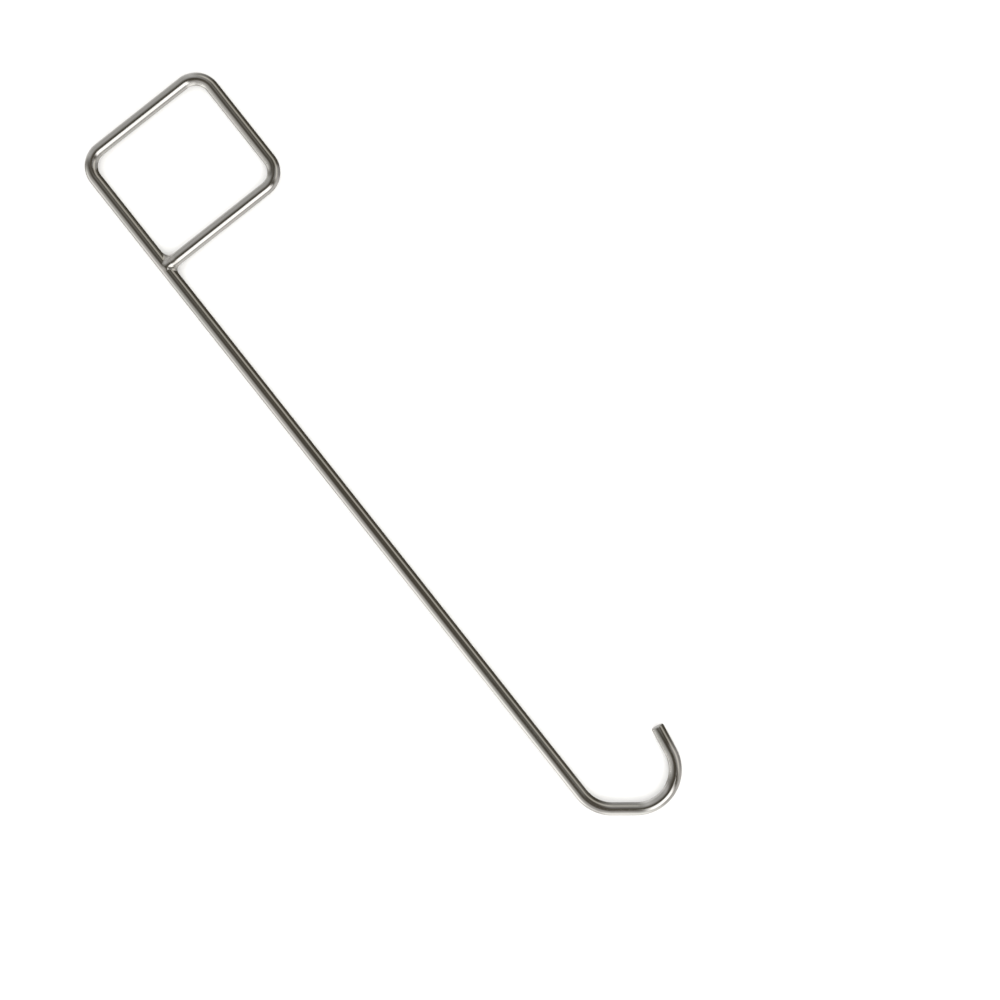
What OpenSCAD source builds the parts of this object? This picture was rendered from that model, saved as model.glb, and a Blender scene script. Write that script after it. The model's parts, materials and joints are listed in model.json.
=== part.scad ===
// Manhole cover lifter: one round steel bar bent into a hook, a long shank and a
// closed hand loop, with the cut end of the loop welded back onto the shank.
// Lengths are in millimetres. The tool lies flat: the shank runs along Y with the
// hook at its -Y end, and hook and loop both reach to the +X side of the shank.

/* [Bar] */
// Diameter of the round bar
bar_d = 10; // [6:0.5:14]
// Thinning of the bar's radius in its bends
bend_draw = 0.02; // [0.01:0.01:0.1]
// Bevel round the cut end of the tip
tip_bevel = 1; // [0.5:0.1:2]

/* [Shank] */
// Straight length from the middle of the neck to the first bend of the hook
shank_len = 516; // [300:1:900]

/* [Hand loop] */
// Clear width inside the loop, across the shank
loop_inside_w = 104; // [80:1:140]
// Clear length inside the loop, along the shank
loop_inside_l = 93; // [70:1:130]
// Inside radius of the three bent corners of the loop
loop_corner_inside_r = 11; // [8:1:22]

/* [Hook] */
// Inside radius of both bends of the hook
hook_bend_inside_r = 25; // [15:1:40]
// Angle of the first bend, at the heel of the hook
heel_angle = 52; // [30:1:70]
// Straight run between the two bends
hook_run = 18.5; // [5:0.5:40]
// Straight length of the tip after the second bend
tip_len = 22; // [10:0.5:60]
// Lean of the tip away from the shank
tip_splay = 10; // [0:1:25]

/* [Neck weld] */
// Gap between the cut end of the loop and the shank, filled with weld metal
root_gap = 1; // [0.5:0.1:3]
// Concave radius of the bead on the loop side of the neck
inside_bead_r = 7; // [3:0.5:12]
// Concave radius of the bead on the hook side of the neck
outside_bead_r = 4.5; // [3:0.5:12]
// Depth of the dressed weld below the surface of the bar
weld_dressing = 0.15; // [0.05:0.05:0.4]
// Height of the weld's crown above the bars, on each face of the tool
crown_rise = 0.8; // [0.3:0.1:1.2]
// Distance from the middle of the crown to its toe, level with the top of the bars
crown_reach = 3.2; // [2:0.1:4]
// Distance from that toe to the cut end of the loop
crown_setback = 0.6; // [0.2:0.1:2]
// Depth of the crown's root below the top of the bars
crown_root = 1; // [0.5:0.1:2]

/* [Hidden] */
$fn = 96;

// Centre-line sizes of the bent bar
bar_r = bar_d / 2;
loop_w = loop_inside_w + bar_d;
loop_l = loop_inside_l + bar_d;
corner_r = loop_corner_inside_r + bar_r;
hook_bend_r = hook_bend_inside_r + bar_r;

// Angles of the remaining bends
half_turn = 180;
corner_angle = half_turn / 2;
toe_angle = half_turn - heel_angle - tip_splay;

// Distance from the shank's axis to the cut end of the loop
loop_end_x = bar_r + root_gap;

// Radius of the dressed weld metal
weld_r = bar_r - weld_dressing;

// Length of bar on each side of the neck that holds all of the weld
weld_reach = max(inside_bead_r, outside_bead_r) + bar_d;

// Rounding of the crown, and its height above the plane of the bar's centre-line
crown_r = (crown_reach * crown_reach + crown_rise * crown_rise) / (2 * crown_rise);
face_h = bar_r + crown_rise;

// Depth of the hook's lowest centre point below its first bend
hook_depth = hook_bend_r + hook_run * cos(heel_angle);

// Middle of the whole tool, measured from the middle of the neck
middle_x = loop_w / 2;
middle_y = (loop_l - shank_len - hook_depth) / 2;

// Bending plans: each row is a straight feed, then a bend's radius and angle.
// Both start where the shank's straight side of the loop meets the first corner.
loop_plan = [
    [0, corner_r, corner_angle],
    [loop_w - 2 * corner_r, corner_r, corner_angle],
    [loop_l - 2 * corner_r, corner_r, corner_angle],
    [loop_w - corner_r - loop_end_x, 0, 0]
];
hook_plan = [
    [loop_l - corner_r + shank_len, hook_bend_r, heel_angle],
    [hook_run, hook_bend_r, toe_angle],
    [tip_len - tip_bevel, 0, 0]
];

// Moves a shape from the middle of the neck to its place in the finished tool
module in_place() {
    translate([-middle_x, -middle_y, face_h])
        children();
}

// Straight round rod along +Y
module rod(length, radius) {
    rotate([-90, 0, 0])
        cylinder(h = length, r = radius);
}

// Turns its children to the far end of a bend that starts along +Y
module after_bend(bend_r, angle) {
    translate([bend_r, 0, 0])
        rotate([0, 0, -angle])
            translate([-bend_r, 0, 0])
                children();
}

// Round rod that starts along +Y and bends towards +X, carried on past both ends
// by the lap angle
module elbow(bend_r, angle, radius, lap = 0) {
    translate([bend_r, 0, 0])
        rotate([0, 0, half_turn - angle - lap])
            rotate_extrude(angle = angle + 2 * lap)
                translate([bend_r, 0])
                    circle(r = radius);
}

// Angle by which a bend reaches into its straights: its thinner section curves
// away from their axis by half of its draw there, and so stays inside them
function bend_lap(bend_r) = atan2(sqrt(bend_r * bend_draw), bend_r);

// Bar laid out along a bending plan, with the children at its far end
module bent_bar(plan, step = 0) {
    if (step < len(plan)) {
        feed = plan[step][0];
        bend_r = plan[step][1];
        angle = plan[step][2];
        if (feed > 0)
            rod(feed, bar_r);
        translate([0, feed, 0]) {
            if (angle > 0)
                elbow(bend_r, angle, bar_r - bend_draw, bend_lap(bend_r));
            after_bend(bend_r, angle)
                bent_bar(plan, step + 1)
                    children();
        }
    } else {
        children();
    }
}

// Bevelled cut end of the tip
module tip_end() {
    rotate([-90, 0, 0])
        cylinder(h = tip_bevel, r1 = bar_r, r2 = bar_r - tip_bevel);
}

// One bead of the neck weld, in the corner on the +Y side of the loop's end: a
// saddle that blends the two round bars and fills its half of the root gap
module weld_bead(bead_r) {
    blend_r = bead_r + bar_r;
    intersection() {
        union() {
            translate([0, blend_r, 0])
                mirror([0, 1, 0])
                    elbow(blend_r, corner_angle, weld_r);
            rotate([0, 90, 0])
                cylinder(h = loop_end_x, r = weld_r);
        }
        translate([0, 0, -bar_r])
            cube([blend_r + bar_r, blend_r + bar_r, bar_d]);
    }
}

// Weld metal built up over the joint on the upper face: a rounded crown between the
// cut end of the loop and the far side of the shank's top
module weld_crown() {
    translate([loop_end_x - crown_setback - crown_reach, 0, 0])
        intersection() {
            translate([0, 0, face_h - crown_r])
                sphere(r = crown_r);
            translate([0, 0, bar_r - crown_root])
                cylinder(h = crown_root + crown_rise, r = crown_r);
        }
}

// The crowns on both faces of the tool
module weld_crowns() {
    weld_crown();
    mirror([0, 0, 1])
        weld_crown();
}

// The two bars that meet at the neck, as far as the weld reaches along them
module neck_bars() {
    translate([0, -weld_reach, 0])
        rod(2 * weld_reach, bar_r);
    translate([loop_end_x, 0, 0])
        rotate([0, 90, 0])
            cylinder(h = weld_reach, r = bar_r);
}

// The bar from the end of the loop, round its corners and down to the tip
module lifting_bar() {
    color([0.62, 0.61, 0.58])
        in_place()
            translate([0, loop_l - corner_r, 0]) {
                bent_bar(loop_plan);
                mirror([0, 1, 0])
                    bent_bar(hook_plan)
                        tip_end();
            }
}

// Weld bead inside the hand loop, with the crowns over the joint
module inside_weld() {
    color([0.74, 0.72, 0.66])
        in_place()
            difference() {
                union() {
                    weld_bead(inside_bead_r);
                    weld_crowns();
                }
                neck_bars();
            }
}

// Weld bead on the hook side of the loop's end, which the crowns lap over
module outside_weld() {
    color([0.70, 0.68, 0.63])
        in_place()
            difference() {
                mirror([0, 1, 0])
                    weld_bead(outside_bead_r);
                weld_crowns();
                neck_bars();
            }
}

lifting_bar();
inside_weld();
outside_weld();
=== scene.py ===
# Looks of a manhole cover lifter: one polished round bar bent into a hook, a long
# shank and a hand loop, with the loop's cut end welded back onto the shank.
# Lengths are in metres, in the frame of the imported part, where the tool lies flat.
import json
import math

import bmesh
import bpy
import numpy as np
from mathutils import Matrix, Vector


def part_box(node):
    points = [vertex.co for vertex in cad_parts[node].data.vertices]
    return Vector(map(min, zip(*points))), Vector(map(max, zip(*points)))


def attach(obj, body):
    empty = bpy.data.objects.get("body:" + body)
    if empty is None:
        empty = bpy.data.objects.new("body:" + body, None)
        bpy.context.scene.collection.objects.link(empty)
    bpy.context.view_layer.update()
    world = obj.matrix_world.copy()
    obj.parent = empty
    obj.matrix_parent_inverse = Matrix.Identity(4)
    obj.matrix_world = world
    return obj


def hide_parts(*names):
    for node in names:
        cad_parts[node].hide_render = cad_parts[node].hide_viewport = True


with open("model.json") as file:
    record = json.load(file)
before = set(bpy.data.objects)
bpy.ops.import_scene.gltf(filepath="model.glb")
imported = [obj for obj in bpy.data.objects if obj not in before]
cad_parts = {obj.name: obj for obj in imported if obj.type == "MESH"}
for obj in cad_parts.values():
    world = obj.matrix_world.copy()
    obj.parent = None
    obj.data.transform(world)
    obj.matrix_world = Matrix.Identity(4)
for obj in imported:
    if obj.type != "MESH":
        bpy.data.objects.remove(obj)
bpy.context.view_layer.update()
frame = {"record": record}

# Lifting bar: one length of drawn stainless round bar, cut to length and bevelled
# at the tip. It is bent cold on a former: two bends make the hook and three make
# the hand loop, so all of it lies in one plane.
tip_mount = next(mount for mount in frame["record"]["mounts"] if mount["name"] == "hook_tip")
millimetre = 0.001
bar_radius = tip_mount["dims"]["r_mm"] * millimetre
axis_z = tip_mount["pos_m"][2]
bar_low, bar_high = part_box("lifting_bar")
shank_x = bar_low.x + bar_radius
loop_far_x = bar_high.x - bar_radius
loop_top_y = bar_high.y - bar_radius

# The two beads of the neck weld meet at the axis of the loop's lower bar
neck_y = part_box("outside_weld")[1].y

# Bends and straights along the centre line
root_gap = 0.001
corner_radius = 0.016
hook_bend_radius = 0.030
shank_length = 0.516
hook_run = 0.0185
tip_length = 0.022
heel_angle = math.radians(52)
toe_angle = math.radians(118)
quarter_turn = math.radians(90)

# Rounded bevel of the tip, and how finely the bar is drawn
tip_bevel = 0.001
bevel_steps = 6
bevel_squareness = 1.3
section_points = 72
bend_points = 48
sharp_edge = math.radians(30)


def heading(turned):
    """Direction of the bar in the hook after it has turned away from the shank's own way down."""
    return Vector((math.sin(turned), -math.cos(turned), 0))


heel_reach = hook_bend_radius * math.tan(heel_angle / 2)
toe_reach = hook_bend_radius * math.tan(toe_angle / 2)
run_way = heading(heel_angle)
tip_way = heading(heel_angle + toe_angle)
heel_corner = Vector((shank_x, neck_y - shank_length - heel_reach, axis_z))
toe_corner = heel_corner + run_way * (heel_reach + hook_run + toe_reach)
toe_start = toe_corner - run_way * toe_reach
toe_middle = toe_start + heading(heel_angle + quarter_turn) * hook_bend_radius
tip_end = toe_corner + tip_way * (toe_reach + tip_length)

# Corners of the bar's centre line from tip to loop end, each with its bend radius and
# its thickness there as a share of the bar's own. The first ones round the tip's bevel.
route = []
for step in range(bevel_steps + 1):
    along_share = step / bevel_steps
    inset_share = 1 - (1 - (1 - along_share) ** bevel_squareness) ** (1 / bevel_squareness)
    thickness_share = 1 - inset_share * tip_bevel / bar_radius
    route.append((tip_end - tip_way * tip_bevel * along_share, 0, thickness_share))
route.append((toe_corner, hook_bend_radius, 1))
route.append((heel_corner, hook_bend_radius, 1))
route.append((Vector((shank_x, loop_top_y, axis_z)), corner_radius, 1))
route.append((Vector((loop_far_x, loop_top_y, axis_z)), corner_radius, 1))
route.append((Vector((loop_far_x, neck_y, axis_z)), corner_radius, 1))
route.append((Vector((shank_x + bar_radius + root_gap, neck_y, axis_z)), 0, 1))

corners, bend_radii, thickness_shares = zip(*route)
stretches = [(i, i + 1) for i in range(len(route) - 1)]
route_mesh = bpy.data.meshes.new("lifting_bar_route")
route_mesh.from_pydata(corners, stretches, [])
for name, values in (("bend_radius", bend_radii), ("thickness_share", thickness_shares)):
    route_mesh.attributes.new(name, "FLOAT", "POINT").data.foreach_set("value", values)


def new_material(name):
    """A material, its node tree and its main shader."""
    material = bpy.data.materials.new(name)
    material.use_nodes = True
    return material, material.node_tree, material.node_tree.nodes["Principled BSDF"]


def add_node(tree, kind, **settings):
    """A node of that kind, with its own settings given by name."""
    made = tree.nodes.new(kind)
    for name, value in settings.items():
        setattr(made, name, value)
    return made


def feed(tree, source, socket):
    """Links a node's first output, or the given output, to a socket."""
    tree.links.new(source.outputs[0] if hasattr(source, "outputs") else source, socket)


def noise(tree, where, grains, detail):
    """Noise with its own count of grains to a metre along each axis."""
    stretched = add_node(tree, "ShaderNodeMapping")
    stretched.inputs["Scale"].default_value = grains
    feed(tree, where, stretched.inputs["Vector"])
    pattern = add_node(tree, "ShaderNodeTexNoise")
    pattern.inputs["Scale"].default_value = 1
    pattern.inputs["Detail"].default_value = detail
    feed(tree, stretched, pattern.inputs["Vector"])
    return pattern


zero_to_one = (0, 1)
one_to_zero = (1, 0)


def ramp(tree, value, between, to):
    """Carries a value from one range to another along a smooth step, held at the ends."""
    mapped = add_node(tree, "ShaderNodeMapRange", interpolation_type="SMOOTHSTEP")
    for name, number in zip(("From Min", "From Max", "To Min", "To Max"), (*between, *to)):
        mapped.inputs[name].default_value = number
    feed(tree, value, mapped.inputs["Value"])
    return mapped


def calculate(tree, operation, *values):
    """One sum over values that come from nodes."""
    made = add_node(tree, "ShaderNodeMath", operation=operation)
    for value, socket in zip(values, made.inputs):
        feed(tree, value, socket)
    return made


def blend_colours(tree, share, first, second):
    """A colour between two others, the first of which may come from a node."""
    mixed = add_node(tree, "ShaderNodeMix", data_type="RGBA")
    if isinstance(first, tuple):
        mixed.inputs["A"].default_value = (*first, 1)
    else:
        feed(tree, first, mixed.inputs["A"])
    mixed.inputs["B"].default_value = (*second, 1)
    feed(tree, share, mixed.inputs["Factor"])
    return mixed.outputs["Result"]


def relief(tree, height, depth, strength_share, under=None):
    """Bumps of a given depth, laid over those of another relief if there is one."""
    bumps = add_node(tree, "ShaderNodeBump")
    bumps.inputs["Strength"].default_value = strength_share
    bumps.inputs["Distance"].default_value = depth
    feed(tree, height, bumps.inputs["Height"])
    if under:
        feed(tree, under, bumps.inputs["Normal"])
    return bumps


# Finish of the bar: its glint, its colour where it is clean, smudged or scuffed, the
# range of its roughness, and where each rubbed or cut place begins and fades out
steel_glint = (0.72, 0.71, 0.69)
clean_steel = (0.61, 0.595, 0.575)
smudged_steel = (0.54, 0.54, 0.515)
scuffed_steel = (0.63, 0.62, 0.60)
polished_roughness = (0.09, 0.15)
bearing_reach = (0.0252, 0.0282)
tip_edge_reach = (0.0007, 0.0020)
cut_end_reach = (0.00002, 0.00006)

# Marks on the bar: their grains to a metre along each axis, the levels of the noise
# between which they build up, and the depth of those that have one
draw_line_grains = (1800, 1800, 6)
draw_line_levels = (0.3, 0.7)
draw_line_depth = 0.000003
hairline_grains = (5200, 5200, 14)
hairline_levels = (0.35, 0.7)
hairline_depth = 0.000001
smudge_grains = (130, 130, 26)
smudge_levels = (0.35, 0.7)
dulling_levels = (0.45, 0.75)
scuff_grains = (2600, 2600, 700)
scuff_levels = (0.42, 0.62)
saw_mark_grains = (350, 7000, 350)
saw_mark_depth = 0.00003
fine_relief_share = 0.5
saw_relief_share = 0.6

drawn_steel, steel_tree, steel_shader = new_material("drawn_steel")
steel_shader.inputs["Metallic"].default_value = 1
steel_shader.inputs["Specular Tint"].default_value = (*steel_glint, 1)
unbent = add_node(steel_tree, "ShaderNodeAttribute", attribute_name="unbent").outputs["Vector"]
unbent_parts = add_node(steel_tree, "ShaderNodeSeparateXYZ")
feed(steel_tree, unbent, unbent_parts.inputs["Vector"])
from_tip = unbent_parts.outputs["Z"]
steel_place = add_node(steel_tree, "ShaderNodeTexCoord").outputs["Object"]

# Lines that drawing and polishing leave along the bar, and smudges from handling
draw_lines = noise(steel_tree, unbent, draw_line_grains, detail=2)
hairlines = noise(steel_tree, unbent, hairline_grains, detail=3)
smudges = noise(steel_tree, unbent, smudge_grains, detail=4)
smudge_share = ramp(steel_tree, smudges, smudge_levels, zero_to_one)

# Scuffs inside the bend that bears the load and on the tip's edge, and saw marks on its end
from_toe_middle = add_node(steel_tree, "ShaderNodeVectorMath", operation="DISTANCE")
from_toe_middle.inputs[1].default_value = toe_middle
feed(steel_tree, steel_place, from_toe_middle.inputs[0])
bearing_share = ramp(steel_tree, from_toe_middle.outputs["Value"], bearing_reach, one_to_zero)
edge_share = ramp(steel_tree, from_tip, tip_edge_reach, one_to_zero)
worn_share = calculate(steel_tree, "MAXIMUM", bearing_share, edge_share)
scuffs = noise(steel_tree, steel_place, scuff_grains, detail=4)
scratched_share = ramp(steel_tree, scuffs, scuff_levels, zero_to_one)
scuff_share = calculate(steel_tree, "MULTIPLY", worn_share, scratched_share)
cut_share = ramp(steel_tree, from_tip, cut_end_reach, one_to_zero)
saw_marks = noise(steel_tree, unbent, saw_mark_grains, detail=3)

steel_colour = blend_colours(steel_tree, smudge_share, clean_steel, smudged_steel)
scuffed_colour = blend_colours(steel_tree, scuff_share, steel_colour, scuffed_steel)
feed(steel_tree, scuffed_colour, steel_shader.inputs["Base Color"])
steel_roughness = ramp(steel_tree, draw_lines, draw_line_levels, polished_roughness)
roughening = (
    dict(mark=hairlines, between=hairline_levels, gain=0.05),
    dict(mark=smudges, between=dulling_levels, gain=0.06),
    dict(mark=scuff_share, between=zero_to_one, gain=0.07),
    dict(mark=cut_share, between=zero_to_one, gain=0.22),
)
for row in roughening:
    added = ramp(steel_tree, row["mark"], row["between"], (0, row["gain"]))
    steel_roughness = calculate(steel_tree, "ADD", steel_roughness, added)
feed(steel_tree, steel_roughness, steel_shader.inputs["Roughness"])
line_relief = relief(steel_tree, draw_lines, draw_line_depth, fine_relief_share)
hair_relief = relief(steel_tree, hairlines, hairline_depth, fine_relief_share, line_relief)
saw_height = calculate(steel_tree, "MULTIPLY", cut_share, saw_marks)
saw_relief = relief(steel_tree, saw_height, saw_mark_depth, saw_relief_share, hair_relief)
feed(steel_tree, saw_relief, steel_shader.inputs["Normal"])

# Sweep of the bar's round section along the route, which keeps each point's place in the
# bar as it was before bending, for the lines of its finish
bending = bpy.data.node_groups.new("bent_round_bar", "GeometryNodeTree")
bar_inputs = {}
for name, kind in (("Route", "NodeSocketGeometry"), ("Bar Radius", "NodeSocketFloat"),
                   ("Section Points", "NodeSocketInt"), ("Points in a Bend", "NodeSocketInt"),
                   ("Finish", "NodeSocketMaterial")):
    bar_inputs[name] = bending.interface.new_socket(name, in_out="INPUT", socket_type=kind).identifier
bending.interface.new_socket("Bar", in_out="OUTPUT", socket_type="NodeSocketGeometry")
given = add_node(bending, "NodeGroupInput")
centre_line = add_node(bending, "GeometryNodeMeshToCurve")
bends = add_node(bending, "GeometryNodeFilletCurve", mode="POLY")
bend_radius_there = add_node(bending, "GeometryNodeInputNamedAttribute")
bend_radius_there.inputs["Name"].default_value = "bend_radius"
thickness_there = add_node(bending, "GeometryNodeInputNamedAttribute")
thickness_there.inputs["Name"].default_value = "thickness_share"
upright = add_node(bending, "GeometryNodeSetCurveNormal", mode="Z_UP")
length_so_far = add_node(bending, "GeometryNodeSplineParameter")
along_bar = add_node(bending, "GeometryNodeCaptureAttribute")
along_bar.capture_items.new("FLOAT", "Along")
section = add_node(bending, "GeometryNodeCurvePrimitiveCircle")
place_in_section = add_node(bending, "GeometryNodeInputPosition")
across_bar = add_node(bending, "GeometryNodeCaptureAttribute")
across_bar.capture_items.new("VECTOR", "Across")
sweep = add_node(bending, "GeometryNodeCurveToMesh")
sweep.inputs["Fill Caps"].default_value = True
across_parts = add_node(bending, "ShaderNodeSeparateXYZ")
unbent_place = add_node(bending, "ShaderNodeCombineXYZ")
keep_unbent = add_node(bending, "GeometryNodeStoreNamedAttribute", data_type="FLOAT_VECTOR", domain="POINT")
keep_unbent.inputs["Name"].default_value = "unbent"
smoothed = add_node(bending, "GeometryNodeSetShadeSmooth")
realized = add_node(bending, "GeometryNodeRealizeInstances")
finished = add_node(bending, "GeometryNodeSetMaterial")
result = add_node(bending, "NodeGroupOutput")
for source, socket in (
        (given.outputs["Route"], centre_line.inputs["Mesh"]),
        (centre_line, bends.inputs["Curve"]),
        (bend_radius_there, bends.inputs["Radius"]),
        (given.outputs["Points in a Bend"], bends.inputs["Count"]),
        (bends, upright.inputs["Curve"]),
        (upright, along_bar.inputs["Geometry"]),
        (length_so_far.outputs["Length"], along_bar.inputs["Along"]),
        (given.outputs["Section Points"], section.inputs["Resolution"]),
        (given.outputs["Bar Radius"], section.inputs["Radius"]),
        (section, across_bar.inputs["Geometry"]),
        (place_in_section, across_bar.inputs["Across"]),
        (along_bar, sweep.inputs["Curve"]),
        (across_bar, sweep.inputs["Profile Curve"]),
        (thickness_there, sweep.inputs["Scale"]),
        (across_bar.outputs["Across"], across_parts.inputs["Vector"]),
        (across_parts.outputs["X"], unbent_place.inputs["X"]),
        (across_parts.outputs["Y"], unbent_place.inputs["Y"]),
        (along_bar.outputs["Along"], unbent_place.inputs["Z"]),
        (sweep, keep_unbent.inputs["Geometry"]),
        (unbent_place, keep_unbent.inputs["Value"]),
        (keep_unbent, smoothed.inputs["Geometry"]),
        (smoothed, realized.inputs["Geometry"]),
        (realized, finished.inputs["Geometry"]),
        (given.outputs["Finish"], finished.inputs["Material"]),
        (finished, result.inputs["Bar"])):
    feed(bending, source, socket)


def link_piece(name, mesh):
    """A new object of the scene, at the origin, that shows the mesh."""
    piece = bpy.data.objects.new(name, mesh)
    bpy.context.scene.collection.objects.link(piece)
    return piece


bar_plan = link_piece("lifting_bar_plan", route_mesh)
bar_sweep = bar_plan.modifiers.new("bent_round_bar", "NODES")
bar_sweep.node_group = bending
for name, value in (("Bar Radius", bar_radius), ("Section Points", section_points),
                    ("Points in a Bend", bend_points), ("Finish", drawn_steel)):
    bar_sweep[bar_inputs[name]] = value
swept_bar = bar_plan.evaluated_get(bpy.context.evaluated_depsgraph_get())
bar_mesh = bpy.data.meshes.new_from_object(swept_bar)
bpy.data.objects.remove(bar_plan)
bar_mesh.set_sharp_from_angle(angle=sharp_edge)
bar = link_piece("polished_bar", bar_mesh)
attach(bar, "root")
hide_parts("lifting_bar")

# Neck weld: stainless filler run round the joint between the shank and the loop's cut
# end, as one bead in each corner. The beads meet over the loop's axis in a low crown on
# each face, and were ground and polished until they flow into both bars.
inside_fillet = 0.007
outside_fillet = 0.0045
crown_fillet = 0.0012
crown_rise = 0.0006
ripple_pitch = 0.0011
ripple_height = 0.00002

# Places along the loop's axis, from the shank's: the middle of the crown's round nose,
# where its full height ends and where it has run out
crown_nose = 0.0015
crown_full = 0.004
crown_end = 0.011

# How the beads sit in the bars: how far under the surface they run out, how deep they
# reach inside, and how far hidden metal goes on past their toes, with its edges rounded
bead_inset = 0.000006
bead_bite = 0.0012
bead_overlap = 0.0007
bead_rounding = 0.0007

# Grid that the weld is meshed on, with the neck at its zero
weld_cell = 0.00018
weld_low = np.array((-0.0054, -0.0115, -0.0066))
weld_high = np.array((0.0140, 0.0140, 0.0066))


def eased(share):
    """A share that leaves zero and reaches one without a kink."""
    return share ** 2 * (3 - 2 * share)


def weld_depths(places):
    """At places measured from the neck: the height over the blended joint, the height
    over the bars alone, and how far the place lies outside the reach of the weld."""
    x, y, z = np.moveaxis(places, -1, 0)
    over_shank = np.hypot(x, z) - bar_radius

    # The loop's end as a round nose that swells into the crown on both faces of the tool
    from_loop = np.sqrt(np.minimum(x - crown_nose, 0) ** 2 + y ** 2 + z ** 2)
    over_loop = from_loop - bar_radius
    crown_share = eased(np.clip((crown_end - x) / (crown_end - crown_full), 0, 1))
    face_share = (z / np.maximum(from_loop, weld_cell)) ** 2
    over_crown = over_loop - crown_rise * crown_share * face_share

    # The fillet's radius, which is small over the crown and grows towards each corner
    inside_share = (1 + np.sin(np.clip(y / bar_radius, -1, 1) * quarter_turn)) / 2
    corner_fillet = outside_fillet + (inside_fillet - outside_fillet) * inside_share
    corner_share = np.clip(1 - (z / bar_radius) ** 2, 0, 1) * np.clip(x / bar_radius, 0, 1)
    fillet = crown_fillet + (corner_fillet - crown_fillet) * corner_share

    # The shank and the crown joined by that fillet, with faint ripples across its run
    shank_part = np.maximum(fillet - over_shank, 0)
    crown_part = np.maximum(fillet - over_crown, 0)
    over_metal = np.minimum(over_shank, over_crown)
    run = np.arctan2(z, (np.abs(x) + np.abs(y)) / 2) * (bar_radius + fillet)
    ripple_wave = np.sin(math.tau * run / ripple_pitch)
    ripple = ripple_height * ripple_wave * shank_part * crown_part / fillet ** 2
    over_joint = np.maximum(fillet, over_metal) - np.hypot(shank_part, crown_part) - ripple
    past_fillet = np.maximum(over_shank, over_loop) - fillet
    past_crown = np.maximum(x - crown_end, over_loop - crown_rise)
    return over_joint, np.minimum(over_shank, over_loop), np.minimum(past_fillet, past_crown)


def rounded_overlap(fields, rounding):
    """The field of the room that several fields share, with its edges rounded."""
    reach = np.linalg.norm(np.maximum(np.stack(fields) + rounding, 0), axis=0)
    return np.minimum(np.max(fields, axis=0), -rounding) + reach


def zero_surface(field):
    """Points, in cells of the grid, and four-sided faces of the surface where a field is zero."""
    ways = np.eye(field.ndim, dtype=int)
    point_sums = np.zeros((*field.shape, field.ndim))
    point_counts = np.zeros(field.shape)
    rings = []
    for axis in range(field.ndim):
        before = np.delete(field, -1, axis)
        after = np.delete(field, 0, axis)
        crossings = np.argwhere((before < 0) != (after < 0))
        start = before[tuple(crossings.T)]
        end = after[tuple(crossings.T)]
        points = crossings + ways[axis] * (start / (start - end))[:, None]

        # The four cells round each crossing, along the two other axes in turn
        one = ways[axis - 2]
        other = ways[axis - 1]
        ring = np.stack((crossings, crossings - one, crossings - one - other, crossings - other), axis=1)
        rings.append(np.where((start < 0)[:, None, None], ring, ring[:, ::-1]))
        for cells in np.moveaxis(ring, 1, 0):
            np.add.at(point_sums, tuple(cells.T), points)
            np.add.at(point_counts, tuple(cells.T), 1)
    used = point_counts > 0
    numbers = np.cumsum(used).reshape(used.shape) - 1
    faces = numbers[tuple(np.moveaxis(np.concatenate(rings), -1, 0))]
    return point_sums[used] / point_counts[used][:, None], faces


weld_counts = np.round((weld_high - weld_low) / weld_cell).astype(int)
weld_grid = weld_low + np.moveaxis(np.indices(weld_counts), 0, -1) * weld_cell
over_joint, over_bars, past_toe = weld_depths(weld_grid)
weld_limits = (over_joint + bead_inset, -over_bars - bead_bite, past_toe - bead_overlap)
weld_points, weld_faces = zero_surface(rounded_overlap(weld_limits, bead_rounding))
weld_points = weld_low + weld_points * weld_cell

# Finish of the weld: the bar's own steel, a little duller, with the marks of grinding
bright_weld = (0.62, 0.605, 0.58)
dull_weld = (0.55, 0.535, 0.505)
weld_roughness = (0.12, 0.22)
grinding_grains = (900, 900, 900)
grinding_levels = (0.3, 0.75)
grinding_depth = 0.000003
tarnish_levels = (0.35, 0.7)
wheel_line_grains = (800, 800, 9000)
wheel_line_depth = 0.000002

dressed_weld, weld_tree, weld_shader = new_material("dressed_weld")
weld_shader.inputs["Metallic"].default_value = 1
weld_shader.inputs["Specular Tint"].default_value = (*steel_glint, 1)
weld_place = add_node(weld_tree, "ShaderNodeTexCoord").outputs["Object"]
grinding = noise(weld_tree, weld_place, grinding_grains, detail=5)
wheel_lines = noise(weld_tree, weld_place, wheel_line_grains, detail=2)
tarnish_share = ramp(weld_tree, grinding, tarnish_levels, zero_to_one)
weld_colour = blend_colours(weld_tree, tarnish_share, bright_weld, dull_weld)
feed(weld_tree, weld_colour, weld_shader.inputs["Base Color"])
ground_roughness = ramp(weld_tree, grinding, grinding_levels, weld_roughness)
feed(weld_tree, ground_roughness, weld_shader.inputs["Roughness"])
grinding_relief = relief(weld_tree, grinding, grinding_depth, fine_relief_share)
wheel_relief = relief(weld_tree, wheel_lines, wheel_line_depth, fine_relief_share, grinding_relief)
feed(weld_tree, wheel_relief, weld_shader.inputs["Normal"])


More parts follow.
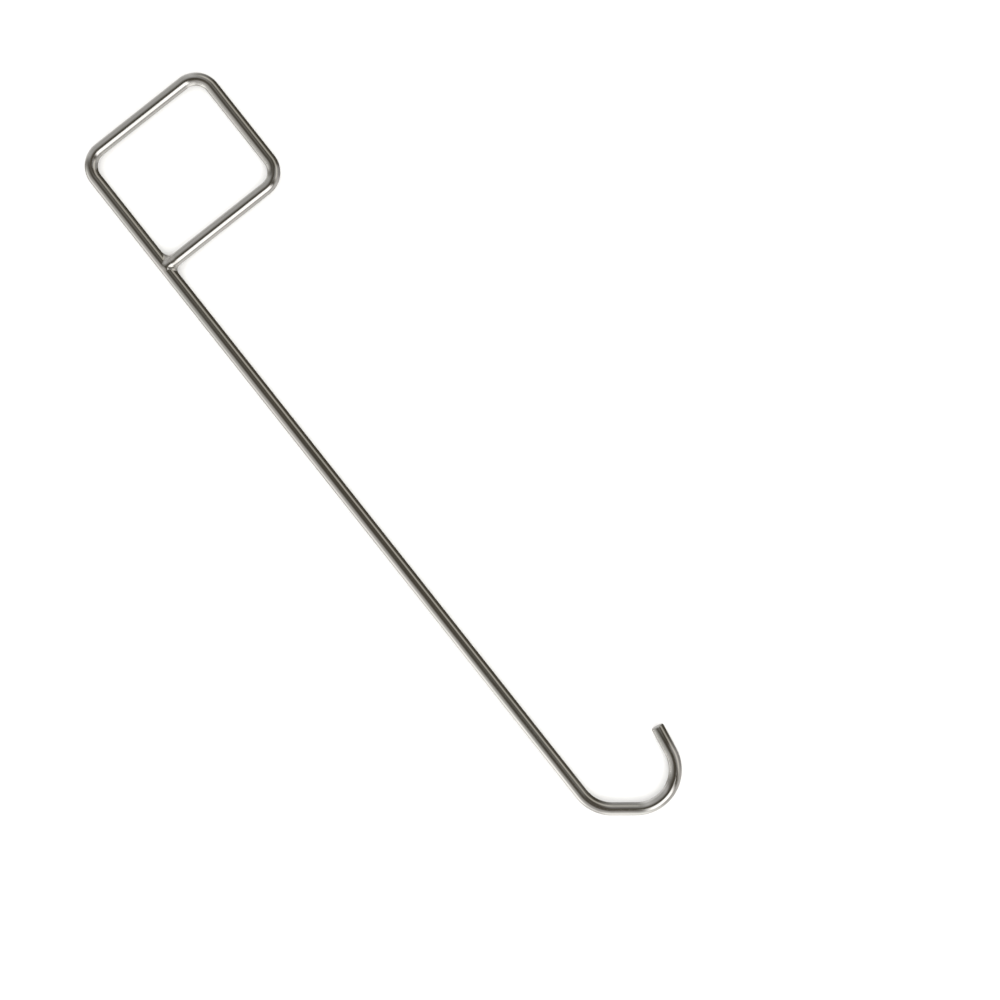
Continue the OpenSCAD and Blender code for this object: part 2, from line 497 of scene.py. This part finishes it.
def weld_bead(name, side):
    """The closed half of the weld on one side of the loop's axis, shaded as the blended joint."""
    mesh = bpy.data.meshes.new(name)
    mesh.from_pydata(weld_points, [], weld_faces)
    solid = bmesh.new()
    solid.from_mesh(mesh)
    bmesh.ops.bisect_plane(solid, geom=solid.verts[:] + solid.edges[:] + solid.faces[:],
                           plane_co=(0, 0, 0), plane_no=(0, -side, 0), clear_outer=True)
    bmesh.ops.holes_fill(solid, edges=[edge for edge in solid.edges if edge.is_boundary])
    bmesh.ops.recalc_face_normals(solid, faces=solid.faces)
    for face in solid.faces:
        face.smooth = True
    solid.to_mesh(mesh)
    solid.free()
    points = np.array([vertex.co for vertex in mesh.vertices])
    steps = np.eye(points.shape[1]) * weld_cell / 2
    slopes = [weld_depths(points + step)[0] - weld_depths(points - step)[0] for step in steps]
    mesh.normals_split_custom_set_from_vertices(np.stack(slopes, axis=1))
    mesh.transform(Matrix.Translation((shank_x, neck_y, axis_z)))
    mesh.materials.append(dressed_weld)
    bead = link_piece(name, mesh)
    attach(bead, "root")
    return bead


inside_bead = weld_bead("inside_bead", 1)
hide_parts("inside_weld")
outside_bead = weld_bead("outside_bead", -1)
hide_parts("outside_weld")

# Studio floor: a plain pale sheet that the tool lies on. The polished steel mirrors
# the walls and soft boxes round it instead of the sheet.
floor_reach = 30
floor_colour = (0.9, 0.9, 0.895)
floor_roughness = 0.9
corner_signs = ((-1, -1), (1, -1), (1, 1), (-1, 1))
pale_floor, _, floor_shader = new_material("pale_floor")
floor_shader.inputs["Base Color"].default_value = (*floor_colour, 1)
floor_shader.inputs["Roughness"].default_value = floor_roughness
floor_shader.inputs["Specular IOR Level"].default_value = 0
floor_corners = [(x * floor_reach, y * floor_reach, 0) for x, y in corner_signs]
floor_mesh = bpy.data.meshes.new("floor")
floor_mesh.from_pydata(floor_corners, [], [range(len(floor_corners))])
floor_mesh.materials.append(pale_floor)
floor = link_piece("floor", floor_mesh)
floor.visible_glossy = False

# Backdrop: a plain pale wall round the floor, as bright as the floor looks. Only the
# camera sees it, so it adds no light and no reflection.
wall_height = 15
wall_sides = 64
wall_colour = (1, 1, 0.995)
pale_wall, _, wall_shader = new_material("pale_wall")
wall_shader.inputs["Base Color"].default_value = (0, 0, 0, 1)
wall_shader.inputs["Specular IOR Level"].default_value = 0
wall_shader.inputs["Emission Color"].default_value = (*wall_colour, 1)
wall_shader.inputs["Emission Strength"].default_value = 1
wall_shape = bmesh.new()
bmesh.ops.create_cone(wall_shape, segments=wall_sides, radius1=floor_reach, radius2=floor_reach,
                      depth=2 * wall_height)
wall_mesh = bpy.data.meshes.new("backdrop")
wall_shape.to_mesh(wall_mesh)
wall_shape.free()
wall_mesh.materials.append(pale_wall)
backdrop = link_piece("backdrop", wall_mesh)
for kind in ("diffuse", "glossy", "shadow"):
    setattr(backdrop, f"visible_{kind}", False)

# Overhead light: a wide soft panel over the tool that lights the floor evenly. The steel
# doesn't mirror it, and the camera doesn't see it.
panel_height = 10
panel_width = 60
panel_power = 13500
panel = bpy.data.lights.new("overhead_panel", "AREA")
panel.size = panel_width
panel.energy = panel_power
overhead = bpy.data.objects.new("overhead_panel", panel)
overhead.location = (0, 0, panel_height)
overhead.visible_glossy = False
overhead.visible_camera = False
bpy.context.scene.collection.objects.link(overhead)

# Studio walls and soft boxes that the steel mirrors, under a dark uneven ceiling. Each
# is placed in degrees: by the compass, with 0 to the right of the shank and 90 past
# the loop, and by the heights over which its light rises and falls.
dark_ceiling = (0.063, 0.055, 0.041)
light_ceiling = (0.116, 0.102, 0.080)
ceiling_patches = 9
ceiling_detail = 2
ceiling_levels = (0.3, 0.7)
studio = bpy.data.worlds.new("studio")
bpy.context.scene.world = studio
studio.use_nodes = True
sky = studio.node_tree
sky_way = add_node(sky, "ShaderNodeTexCoord").outputs["Generated"]


def facing(way):
    """How far the sky's direction goes along a given way."""
    product = add_node(sky, "ShaderNodeVectorMath", operation="DOT_PRODUCT")
    feed(sky, sky_way, product.inputs[0])
    product.inputs[1].default_value = way
    return product.outputs["Value"]


height = calculate(sky, "DEGREES", calculate(sky, "ARCSINE", facing((0, 0, 1))))
unevenness = add_node(sky, "ShaderNodeTexNoise")
unevenness.inputs["Scale"].default_value = ceiling_patches
unevenness.inputs["Detail"].default_value = ceiling_detail
feed(sky, sky_way, unevenness.inputs["Vector"])
patch_share = ramp(sky, unevenness, ceiling_levels, zero_to_one)
light_so_far = blend_colours(sky, patch_share, dark_ceiling, light_ceiling)

# A light that shines from below has risen before the lowest height
white = (1.0, 0.995, 0.99)
warm = (1.0, 0.965, 0.88)
cool = (0.97, 0.98, 1.0)
from_below = (-100, -90)
lights = (
    # Bright soft box past the hook, over a lower wall
    dict(compass=-90, half_width=12, fade=14, rise=(16, 32), fall=(66, 80), brightness=1.8, tint=white),
    dict(compass=-90, half_width=30, fade=25, rise=from_below, fall=(-10, 40), brightness=0.65, tint=white),
    # Wall to the left of the shank, with brighter strips near its foot and a faint patch above
    dict(compass=182, half_width=28, fade=26, rise=from_below, fall=(10, 78), brightness=0.5, tint=white),
    dict(compass=182, half_width=28, fade=26, rise=(-60, -15), fall=(-5, 25), brightness=0.6, tint=white),
    dict(compass=210, half_width=40, fade=20, rise=(20, 38), fall=(48, 66), brightness=0.2, tint=white),
    dict(compass=190, half_width=4, fade=12, rise=from_below, fall=(-10, 35), brightness=0.5, tint=white),
    # Strips that light the outer side of the hook
    dict(compass=245, half_width=14, fade=14, rise=from_below, fall=(20, 66), brightness=0.45, tint=white),
    dict(compass=236, half_width=8, fade=14, rise=(-60, -15), fall=(0, 35), brightness=0.4, tint=white),
    # Wall past the loop, brighter at its foot
    dict(compass=90, half_width=20, fade=18, rise=from_below, fall=(40, 85), brightness=0.45, tint=cool),
    dict(compass=90, half_width=30, fade=18, rise=from_below, fall=(-40, 10), brightness=0.4, tint=cool),
    # Warm band to the right of the shank
    dict(compass=0, half_width=40, fade=25, rise=(8, 24), fall=(38, 52), brightness=0.5, tint=warm),
    # Dim fills that keep the bends from going black
    dict(compass=52, half_width=4, fade=34, rise=from_below, fall=(60, 90), brightness=0.24, tint=cool),
    dict(compass=128, half_width=6, fade=22, rise=from_below, fall=(10, 70), brightness=0.22, tint=white),
    dict(compass=-32, half_width=10, fade=16, rise=from_below, fall=(55, 88), brightness=0.3, tint=cool),
)
for light in lights:
    turn = math.radians(light["compass"])
    ahead = facing((math.cos(turn), math.sin(turn), 0))
    across = facing((-math.sin(turn), math.cos(turn), 0))
    aside = calculate(sky, "ABSOLUTE", calculate(sky, "DEGREES", calculate(sky, "ARCTAN2", across, ahead)))
    edge = (light["half_width"], light["half_width"] + light["fade"])
    width_share = ramp(sky, aside, edge, one_to_zero)
    rise_share = ramp(sky, height, light["rise"], zero_to_one)
    fall_share = ramp(sky, height, light["fall"], one_to_zero)
    height_share = calculate(sky, "MULTIPLY", rise_share, fall_share)
    lit = add_node(sky, "ShaderNodeMix", data_type="RGBA", blend_type="ADD")
    feed(sky, calculate(sky, "MULTIPLY", width_share, height_share), lit.inputs["Factor"])
    feed(sky, light_so_far, lit.inputs["A"])
    lit.inputs["B"].default_value = (*(channel * light["brightness"] for channel in light["tint"]), 1)
    light_so_far = lit.outputs["Result"]
feed(sky, light_so_far, sky.nodes["Background"].inputs["Color"])

# Camera: straight above the tool, turned so that the shank runs down to the right, and
# high enough for the picture to take in its width at the bar's axis. The lens and the
# sensor are in millimetres.
picture_width = 0.76923
picture_middle = (0.0339, -0.0724)
picture_turn = math.radians(-38.3)
lens_length = 85
sensor_width = 36
view = bpy.data.cameras.new("camera")
view.lens = lens_length
view.sensor_width = sensor_width
camera = bpy.data.objects.new("camera", view)
bpy.context.scene.collection.objects.link(camera)
camera.location = (*picture_middle, axis_z + picture_width * lens_length / sensor_width)
camera.rotation_euler = (0, 0, picture_turn)
bpy.context.scene.camera = camera
bpy.context.scene.view_settings.view_transform = "Standard"
